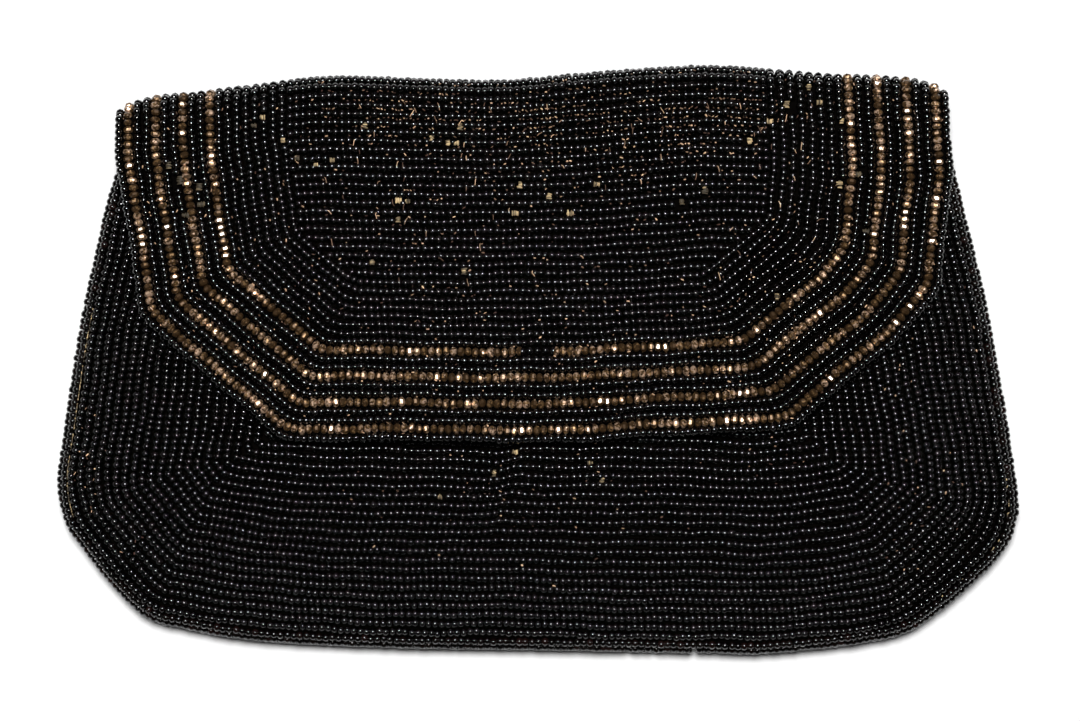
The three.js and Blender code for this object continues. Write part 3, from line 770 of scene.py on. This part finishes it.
def weave_group():
    """A plain weave: its height, and how much its threads differ."""
    tree, given = new_group("plain_weave", "ShaderNodeTree", [("Threads", "Float", 2400.0)],
                            [("Height", "Float"), ("Slub", "Float")])
    place = add(tree, "ShaderNodeTexCoord").outputs["Object"]
    waves = [
        add(tree, "ShaderNodeTexWave", {"Vector": place, "Scale": given["Threads"]},
            wave_type="BANDS", bands_direction=way).outputs[1] for way in "XY"]
    return give_out(tree, Height=maths(tree, "MULTIPLY", *waves), Slub=noise(tree, 400.0, 4.0))


def blank_material(name):
    """A new material, its tree and its shader."""
    made = bpy.data.materials.new(name)
    made.use_nodes = True
    return made, made.node_tree, made.node_tree.nodes["Principled BSDF"]


def group_in(tree, group, inputs):
    """A shader group placed in a material, with its own values."""
    node = tree.nodes.new("ShaderNodeGroup")
    node.node_tree = group
    for key, value in inputs.items():
        node.inputs[key].default_value = value
    return node


def bead_material(name, most, some, few, dust, dust_share, gloss, painted_glints=0.0, metallic=0.0, coat=0.0,
                  shine=0.5):
    """Glass beads in three tones, with a little dust."""
    made, tree, shader = blank_material(name)
    tones = group_in(tree, GROUPS["tones"], {
        "Most": (*most, 1), "Some": (*some, 1), "Few": (*few, 1), "Dust": (*dust, 1),
        "Dust share": dust_share, "Gloss": gloss, "Painted glints": painted_glints})
    tree.links.new(tones.outputs["Colour"], shader.inputs["Base Color"])
    tree.links.new(tones.outputs["Roughness"], shader.inputs["Roughness"])
    shader.inputs["Metallic"].default_value = metallic
    shader.inputs["IOR"].default_value = 1.65
    shader.inputs["Coat Weight"].default_value = coat
    shader.inputs["Coat Roughness"].default_value = 0.06
    shader.inputs["Specular IOR Level"].default_value = shine
    return made


def cloth_material(name, colour, shaded_slub):
    """Cloth in a plain weave, dull and near black: painted shade between the beads."""
    made, tree, shader = blank_material(name)
    weave = group_in(tree, GROUPS["weave"], {"Threads": 2400.0})
    bump = add(tree, "ShaderNodeBump", {
        "Height": weave.outputs["Height"], "Distance": 0.1 * MM, "Strength": 0.6})
    tree.links.new(blended(tree, weave.outputs["Slub"], colour, shaded_slub), shader.inputs["Base Color"])
    tree.links.new(bump.outputs[0], shader.inputs["Normal"])
    shader.inputs["Roughness"].default_value = 0.85
    shader.inputs["Specular IOR Level"].default_value = 0.02
    return made


def thread_material(name, colour, shaded):
    """Twisted thread, from a shaded tone to its own colour."""
    made, tree, shader = blank_material(name)
    tone = add(tree, "ShaderNodeAttribute", attribute_name="tone").outputs["Fac"]
    share = maths(tree, "MULTIPLY_ADD", noise(tree, 1500.0, 3.0), 0.5, tone)
    share = maths(tree, "POWER", ranged(tree, share, 0.25, 1.25), 2.0)
    tree.links.new(blended(tree, share, shaded, colour), shader.inputs["Base Color"])
    shader.inputs["Roughness"].default_value = 0.6
    return made


GROUPS = {}
MATERIALS = {}


def material(name):
    """One of the purse's finishes. They are made when the first is asked for."""
    if not MATERIALS:
        GROUPS.update(tones=tone_group(), weave=weave_group(), sewn=sewn_rows_tree(), fibres=fibres_tree())
        colours = bpy.context.scene.purse_colours
        brown, dust = tuple(colours.brown_glass), shade("8d9484")
        MATERIALS.update(
            black_beads=bead_material(
                "black_beads", tuple(colours.black_glass), brown, shade("060404"), dust, 0.001, 0.06),
            # The rim's beads get browner glass than the other black beads: painted light shining through
            # their thin edges.
            edge_beads=bead_material(
                "edge_beads", brown, shade("080403"), shade("120807"), dust, 0.001, 0.08, shine=0.3),
            # The gold beads' tone, spread from facet to facet, paints reflections and glints; their palest
            # facets are painted glints.
            gold_beads=bead_material(
                "gold_beads", tuple(colours.gold_glass), tuple(colours.copper_glass), shade("c8a88e"),
                dust, 0.02, 0.34, painted_glints=1.3, metallic=0.7, coat=0.6),
            # The cloth is painted near black, as shade between the beads.
            cloth=cloth_material("ground_cloth_painted_shade", tuple(colours.cloth), shade("040302")),
            thread=thread_material("sewing_thread", tuple(colours.thread), shade("342c1e")),
            # The gold thread runs from painted shade to a pale painted glint, most of it dim.
            row_thread=thread_material("gold_thread_painted_glint", shade("dcb490"), shade("331808")))
    return MATERIALS[name]


def belong(piece, nodes=()):
    """The piece rides on the purse and stands for its solids."""
    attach(piece, "root")
    if nodes:
        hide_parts(*nodes)
    return piece


def sew(name, rows, shape, finish, pitch, **values):
    """A piece of one small shape sewn along rows."""
    sizes = bpy.context.scene.purse_sizes
    given = {
        "Shape": shape, "Pitch": pitch, "Unevenness": sizes.unevenness, "Missing": sizes.missing,
        "Seed": sizes.seed, "Finish": material(finish)}
    given.update(values)
    return made_with(name, rows.mesh(name + "_rows"), GROUPS["sewn"], given)


def shell(name, outer, inner):
    """A closed cloth wall between two faces, each given as rings of points that meet on the middle line."""
    rings, stations = outer.shape[:2]
    points = np.concatenate([outer.reshape(-1, 3), inner.reshape(-1, 3)]) * MM
    under = rings * stations
    index = np.arange(under).reshape(rings, stations)
    a, b, c, d = index[:-1, :-1], index[1:, :-1], index[1:, 1:], index[:-1, 1:]
    top = np.stack([a, b, c, d], axis=-1).reshape(-1, 4)
    faces = [top, top[:, ::-1] + under]
    for side in (index[:, 0], index[:, -1][::-1], index[0][::-1]):
        faces.append(np.stack([side[:-1], side[:-1] + under, side[1:] + under, side[1:]], axis=-1))
    work = bmesh.new()
    made = [work.verts.new(p) for p in points]
    for face in np.concatenate(faces):
        work.faces.new([made[i] for i in face])
    bmesh.ops.remove_doubles(work, verts=work.verts[:], dist=1e-6)
    bmesh.ops.dissolve_degenerate(work, edges=work.edges[:], dist=1e-7)
    bmesh.ops.recalc_face_normals(work, faces=work.faces[:])
    mesh = bpy.data.meshes.new(name)
    work.to_mesh(mesh)
    work.free()
    mesh.polygons.foreach_set("use_smooth", [True] * len(mesh.polygons))
    return linked(name, mesh)


def body_stations():
    """Every few points of the body's edge, the way inward, and the middle line's point that each shares."""
    pick = slice(None, None, 4)
    spine_y = np.maximum((EDGE[:, 1] + EDGE[::-1, 1]) / 2, BODY_SPINE_FOOT)
    return EDGE[pick], INWARD[pick], np.stack([np.zeros_like(spine_y), spine_y], axis=1)[pick]


def back_cloth_faces(under):
    edge, inward, spine = body_stations()
    lift = back_lift(edge[:, 1])
    reach = RIM_RADIUS - under
    rings = []
    for angle in np.linspace(SEAM_ANGLE, 0, 9):
        plan = edge + inward * (RIM_RADIUS - reach * math.sin(angle))
        rings.append(np.column_stack([plan, RIM_RADIUS - reach * math.cos(angle) + lift]))
    start = edge + inward * RIM_RADIUS
    for share in np.linspace(0, 1, 11)[1:]:
        plan = start + (spine - start) * share
        rings.append(np.column_stack([plan, back_lift(plan[:, 1]) + under]))
    return np.array(rings)


def front_cloth_faces(under):
    edge, inward, spine = body_stations()
    rings = []
    start = edge + inward * (SEAM_INSET + GAP)
    for share in np.concatenate([np.linspace(0, 0.2, 7), np.linspace(0.2, 1, 11)[1:]]):
        plan = start + (spine - start) * share
        points, _ = on_face(front_height, plan, under)
        points[[0, -1], 1] = MOUTH_Y
        rings.append(points)
    return np.array(rings)


def flap_cloth_faces(under):
    """Rings from the flap's edge to its middle line, each from the tail over the fold, round and back."""
    rings = []
    for inset, share in [(0.3, 0), (1.0, 0), (3.0, 0), *((6.0, s) for s in np.linspace(0, 1, 13))]:
        corners = np.array(flap_inset(inset))
        plan, down = [], []
        for i, count in enumerate(FLAP_STEPS[:-1]):
            t = np.arange(count + (i == len(FLAP_STEPS) - 2)) / count
            plan.append(corners[i] + (corners[i + 1] - corners[i]) * t[:, None])
            down.append(FLAP_DOWN[i] + (FLAP_DOWN[i + 1] - FLAP_DOWN[i]) * t)
        plan, down = np.concatenate(plan), np.concatenate(down)
        top = shoulder_y(np.zeros(1))[0]
        spine = np.stack([np.zeros_like(down), top + (FLAP_SPINE_FOOT - top) * down], axis=1)
        plan = plan + (spine - plan) * share
        plan[[0, -1], 1] = shoulder_y(plan[[0, -1], 0])
        front, _ = on_face(flap_height, plan, under)
        (p0, _), (p1, _) = (fold_path(x, under) for x in (plan[0, 0], plan[-1, 0]))
        rings.append(np.concatenate([p0[::-1], front[1:-1], p1]))
    return np.array(rings)


class PURSE_OT_cloth(bpy.types.Operator):
    """Makes the cloth of the front, the back and the flap"""
    bl_idname = "purse.cloth"
    bl_label = "Cloth walls"

    def execute(self, context):
        made = (
            ("front_cloth", front_cloth_faces, "front_panel", (0.19, 0.101), 0.0172),
            ("back_cloth", back_cloth_faces, "back_panel", (0.212, 0.118), 0.0225),
            ("flap_cloth", flap_cloth_faces, "flap", (0.173, 0.1), 0.0153),
        )
        for name, faces, node, flat, area in made:
            piece = shell(name, faces(BEAD), faces(WALL))
            piece.data.materials.append(material("cloth"))
            belong(piece, [node])
        return {"FINISHED"}


class PURSE_OT_body_beads(bpy.types.Operator):
    """Sews the black beads on the front, the rim and the back"""
    bl_idname = "purse.body_beads"
    bl_label = "Body beads"

    def execute(self, context):
        sizes = context.scene.purse_sizes
        pitch = sizes.row_pitch / MM
        bead = seed_bead("bead", sizes.bead_length, 8)
        plain = seed_bead("plain_bead", sizes.bead_length, 6)
        outer, inner = Rows(), Rows()
        for n in range(BODY_ROWS):
            points, normals, shown = body_row(FIRST_BODY_ROW + n * pitch * BODY_ROW_DRAW)
            (outer if n < BODY_OUTER_ROWS else inner).add(points, normals, BODY_GAPS, shown)
        rim = Rows()
        for angle in RIM_ROW_ANGLES:
            points, normals = rim_row(angle)
            rim.add(points, normals, RIM_GAPS)
        lower, upper = Rows(), Rows()
        bottom = EDGE[:, 1].min()
        xs = np.arange(-WIDTH / 2, WIDTH / 2, 0.5)
        for y in np.arange(bottom + RIM_RADIUS + 0.5, MOUTH_Y - 0.6, pitch):
            plan = np.stack([xs, np.full_like(xs, y)], axis=1)
            inside = (xs > np.interp(y, LEFT_SIDE[:, 1], LEFT_SIDE[:, 0])) & (
                xs < np.interp(y, RIGHT_SIDE[:, 1], RIGHT_SIDE[:, 0]))
            shown = inside & (edge_distance(plan) > RIM_RADIUS + 0.2)
            points = np.column_stack([plan, back_lift(plan[:, 1]) + BEAD / 2])
            normals = np.tile((0.0, 0.0, -1.0), (len(points), 1))
            (lower if y < BACK_ROWS_SPLIT else upper).add(points, normals, (), shown)
        made = (
            ("front_beads_outer", outer, bead, "black_beads", "front_panel", 0.08),
            ("front_beads_inner", inner, bead, "black_beads", "front_panel", 0.08),
            ("edge_beads", rim, bead, "edge_beads", "back_panel", 0.09),
            ("back_beads_lower", lower, plain, "black_beads", "back_panel", 0.03),
            ("back_beads_upper", upper, plain, "black_beads", "back_panel", 0.03),
        )
        for name, rows, shape, finish, node, stray in made:
            piece = sew(name, rows, shape, finish, sizes.bead_pitch, Stray=stray * MM)
            belong(piece, [node])
        for shape in (bead, plain):
            bpy.data.objects.remove(shape)
        return {"FINISHED"}


class PURSE_OT_flap_beads(bpy.types.Operator):
    """Sews the black beads on the flap"""
    bl_idname = "purse.flap_beads"
    bl_label = "Flap beads"

    def execute(self, context):
        sizes = context.scene.purse_sizes
        pitch = sizes.row_pitch / MM
        bead = seed_bead("bead", sizes.bead_length, 8)
        border, centre = Rows(), Rows()
        for ring in range(FLAP_RINGS):
            points, normals = flap_ring((ring + 0.5) * pitch)
            if ring not in GOLD_RINGS:
                border.add(points, normals, FLAP_GAPS)
            elif ring == GOLD_RINGS[-1]:
                border.add(points, normals, (), stands_in(points))
        for points, normals, shown in flap_level_rows(pitch):
            centre.add(points, normals, FLAP_GAPS, shown)
        for name, rows in (("flap_beads_border", border), ("flap_beads_centre", centre)):
            piece = sew(name, rows, bead, "black_beads", sizes.bead_pitch, Stray=0.08 * MM)
            belong(piece, ["flap"])
        bpy.data.objects.remove(bead)
        return {"FINISHED"}


class PURSE_OT_gold_beads(bpy.types.Operator):
    """Sews the four strings of cut gold beads on the flap"""
    bl_idname = "purse.gold_beads"
    bl_label = "Gold strings"

    def execute(self, context):
        sizes = context.scene.purse_sizes
        pitch = sizes.row_pitch / MM
        bead = cut_bead("cut_bead", sizes.gold_pitch - 0.04 * MM, sizes.gold_diameter)
        for number, ring in enumerate(GOLD_RINGS, 1):
            rows = Rows()
            points, normals = flap_ring((ring + 0.5) * pitch)
            rows.add(points, normals, FLAP_GAPS, None if ring < GOLD_RINGS[-1] else ~stands_in(points))
            piece = sew(f"gold_beads_{number}", rows, bead, "gold_beads", sizes.gold_pitch,
                        Spin=math.pi, Tilt=0.2, Seed=sizes.seed + 20 * number)
            belong(piece, [f"gold_string_{number}"])
        bpy.data.objects.remove(bead)
        return {"FINISHED"}


def patchy_share(points, patches):
    """How much of the thread shows in some patches."""
    share = np.zeros(len(points))
    for x, y, wide, tall, most in patches:
        share += most * np.exp(-((points[:, 0] - x) / wide) ** 2 - ((points[:, 1] - y) / tall) ** 2)
    return share


def flap_thread_and_painted_glint_share(points):
    """How much of the thread between the flap's rows shows, in short runs, partly as painted glints of light.
    """
    x, y = points[:, 0], points[:, 1]
    (left, left_run), (right, right_run) = BAND_LEFT, BAND_RIGHT
    ends = smoothstep((x - left) / left_run) * smoothstep((right - x) / right_run)
    band = BAND_SHARE * np.exp(-((y - BAND_Y) / BAND_TALL) ** 2) * ends
    runs = 0.5 + 0.5 * np.sin(0.31 * x + 1.7 * np.sin(0.9 * y)) * np.sin(0.13 * x - 0.7 * y)
    return (ELSEWHERE_PAINTED_GLINT_SHARE + band + patchy_share(points, FLAP_THREAD_PATCHES)) * (0.3 + 1.4 * runs)


def seam_thread_share(points):
    """How much of the seam's thread shows."""
    x, y = points[:, 0], points[:, 1]
    return sum(
        most * (x * side > 0) * smoothstep((y - low) / SEAM_FADE) * smoothstep((high - y) / SEAM_FADE)
        for side, low, high, most in SEAM_STRETCHES)


class PURSE_OT_threads(bpy.types.Operator):
    """Adds the stitches of the seam, the threads between rows with painted glints, the threads where beads
    are gone, and loose ends
    """
    bl_idname = "purse.threads"
    bl_label = "Threads"

    def execute(self, context):
        sizes = context.scene.purse_sizes
        pitch = sizes.row_pitch / MM
        stub = stitch("stub")
        seam = Rows()
        points, normals = rim_row(math.degrees(SEAM_ANGLE), RIM_RADIUS - SEAM_STITCH_DEPTH)
        seam.add(points, normals, share=seam_thread_share(points))
        belong(sew("seam_stitches", seam, stub, "thread", SEAM_STITCH_PITCH * MM, Tilt=0.4, Unevenness=0.4))
        bare, rise = Rows(), ROW_STITCH_HEIGHT
        for ring in range(FLAP_RINGS - 1):
            points, normals = flap_ring((ring + 1) * pitch)
            bare.add(points + normals * rise, normals, (), normals[:, 2] > 0.9, flap_thread_and_painted_glint_share(points))
        for points, normals, shown in flap_level_rows(pitch):
            shifted = points + np.array([0, pitch / 2, 0]) + normals * rise
            bare.add(shifted, normals, (), shown & (normals[:, 2] > 0.9), flap_thread_and_painted_glint_share(shifted))
        for n in range(BODY_ROWS):
            points, normals, shown = body_row(FIRST_BODY_ROW + (n + 0.5) * pitch * BODY_ROW_DRAW)
            share = patchy_share(points, BODY_THREAD_PATCHES)
            bare.add(points + normals * rise, normals, (), shown, share)
        # The stubs between rows are thread that shows, partly painted glints of light.
        belong(sew("between_threads", bare, stub, "row_thread", ROW_STITCH_PITCH * MM, Tilt=0.8,
                   Unevenness=0.6, Stray=0.2 * MM, Missing=0.0, Seed=sizes.seed + 3))
        bpy.data.objects.remove(stub)
        random = np.random.default_rng(sizes.seed)
        tufts = Rows()
        for gaps, height in ((FLAP_GAPS, flap_height), (BODY_GAPS, front_height)):
            for x, y, reach, paleness in gaps:
                across = random.integers(2) * math.pi / 2
                side = np.array([-math.sin(across), math.cos(across)])
                for strand in np.linspace(-1, 1, STRANDS):
                    tone = np.clip(paleness + random.normal(-0.2, 0.35), 0, 1)
                    spread = side * strand * STRAND_SPREAD * reach
                    spot = np.array([x, y]) + spread + random.normal(0, 0.06, 2)
                    heading = across + random.normal(0, 0.06)
                    length = random.uniform(*STRAND_LENGTHS) * reach
                    depth = random.uniform(*STRAND_DEPTHS)
                    tufts.add(*self.fibre(random, spot, height, length, heading, 0.05, depth), tone=tone)
        loose = Rows()
        for _ in range(LOOSE_THREADS):
            spot = np.array([
                random.uniform(LOOSE_LEFT, LOOSE_RIGHT), random.uniform(LOOSE_BOTTOM, LOOSE_TOP)])
            if random.uniform() < 0.2 + 0.8 * (spot[1] - LOOSE_BOTTOM) / (LOOSE_TOP - LOOSE_BOTTOM):
                heading = math.pi / 2 + random.normal(0, 0.25)
                tone = random.uniform(0.2, 1)
                length = random.uniform(*LOOSE_THREAD_LENGTHS)
                loose.add(*self.fibre(random, spot, flap_height, length, heading, 0.2, 0.3), tone=tone)
        for name, rows, radius, finish in (
                ("bare_threads", tufts, STRAND_RADIUS, "thread"),
                ("loose_threads", loose, LOOSE_THREAD_RADIUS, "row_thread")):
            belong(made_with(name, rows.mesh(name + "_lines"), GROUPS["fibres"], {
                "Radius": radius * MM, "Finish": material(finish)}))
        return {"FINISHED"}

    def fibre(self, random, spot, height, length, heading, curl, under):
        """A short loose fibre that lies on a face, a little under it."""
        steps = 6
        headings = heading + np.cumsum(random.normal(0, curl, steps))
        walk = np.cumsum(np.stack([np.cos(headings), np.sin(headings)], axis=1) * length / steps, axis=0)
        points, normals = on_face(height, spot + walk - walk.mean(axis=0), 0.0)
        arch = 0.25 * np.sin(np.linspace(0, math.pi, steps))
        return points + normals * (arch - under)[:, None], normals


class PURSE_OT_snap(bpy.types.Operator):
    """Gives the hidden snap its steel finish"""
    bl_idname = "purse.snap"
    bl_label = "Snap"

    def execute(self, context):
        steel, tree, shader = blank_material("snap_steel")
        rub = noise(tree, 1200.0, 4.0)
        tree.links.new(blended(tree, rub, (0.35, 0.35, 0.37), (0.6, 0.6, 0.62)), shader.inputs["Base Color"])
        tree.links.new(ranged(tree, rub, 0.0, 1.0, 0.25, 0.5), shader.inputs["Roughness"])
        shader.inputs["Metallic"].default_value = 1.0
        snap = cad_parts["snap_fastener"]
        snap.data.materials.clear()
        snap.data.materials.append(steel)
        return {"FINISHED"}


class PURSE_OT_stage(bpy.types.Operator):
    """Sets the floor, the light and the camera"""
    bl_idname = "purse.stage"
    bl_label = "Stage"

    def execute(self, context):
        bpy.ops.mesh.primitive_plane_add(size=4, location=(0, 0, 0))
        floor = context.active_object
        floor.name = "floor"
        pale, tree, shader = blank_material("pale_floor")
        low, high = ((tone, tone, tone) for tone in FLOOR_TONES)
        tree.links.new(blended(tree, noise(tree, 30.0), low, high), shader.inputs["Base Color"])
        shader.inputs["Roughness"].default_value = 0.9
        shader.inputs["Emission Color"].default_value = (1, 1, 1, 1)
        shader.inputs["Emission Strength"].default_value = FLOOR_GLOW
        floor.data.materials.append(pale)
        lamp = bpy.data.lights.new("soft_light", "AREA")
        lamp.shape, lamp.size, lamp.energy = "DISK", LIGHT_SIZE, LIGHT_POWER
        self.aimed("soft_light", lamp, Vector(LIGHT_PLACE), -Vector(LIGHT_PLACE))
        world = bpy.data.worlds.new("dim_room")
        world.use_nodes = True
        world.node_tree.nodes["Background"].inputs[0].default_value = (ROOM_TONE, ROOM_TONE, ROOM_TONE, 1)
        context.scene.world = world
        context.scene.view_settings.view_transform = "Standard"
        lens = bpy.data.cameras.new("camera")
        lens.lens, lens.sensor_width = CAMERA_LENS, SENSOR_WIDTH
        rise = math.radians(CAMERA_ELEVATION)
        back = Vector((0, -math.cos(rise), math.sin(rise)))
        place = CAMERA_AIM + back * (FRAME_WIDTH * CAMERA_LENS / SENSOR_WIDTH)
        context.scene.camera = self.aimed("camera", lens, place, -back)
        return {"FINISHED"}

    def aimed(self, name, data, place, way):
        """A lamp or camera at a place, looking a way."""
        thing = linked(name, data)
        thing.location = place
        thing.rotation_mode = "QUATERNION"
        thing.rotation_quaternion = way.to_track_quat("-Z", "Y")
        return thing


class PURSE_PT_panel(bpy.types.Panel):
    """Sizes, colours and the steps that build the purse"""
    bl_idname = "PURSE_PT_panel"
    bl_label = "Beaded purse"
    bl_space_type = "VIEW_3D"
    bl_region_type = "UI"
    bl_category = "Purse"

    def draw(self, context):
        for group in (context.scene.purse_sizes, context.scene.purse_colours):
            box = self.layout.box()
            for name in group.__annotations__:
                box.prop(group, name)
        for step in STEPS:
            self.layout.operator(step.bl_idname)


STEPS = (
    PURSE_OT_cloth, PURSE_OT_body_beads, PURSE_OT_flap_beads, PURSE_OT_gold_beads, PURSE_OT_threads,
    PURSE_OT_snap, PURSE_OT_stage)
CLASSES = (PurseSizes, PurseColours, *STEPS, PURSE_PT_panel)


def register():
    for cls in CLASSES:
        bpy.utils.register_class(cls)
    bpy.types.Scene.purse_sizes = PointerProperty(type=PurseSizes)
    bpy.types.Scene.purse_colours = PointerProperty(type=PurseColours)


def unregister():
    del bpy.types.Scene.purse_colours
    del bpy.types.Scene.purse_sizes
    for cls in reversed(CLASSES):
        bpy.utils.unregister_class(cls)


def main():
    register()
    bpy.ops.purse.cloth()
    bpy.ops.purse.body_beads()
    bpy.ops.purse.flap_beads()
    bpy.ops.purse.gold_beads()
    bpy.ops.purse.threads()
    bpy.ops.purse.snap()
    bpy.ops.purse.stage()


if __name__ == "__main__":
    main()
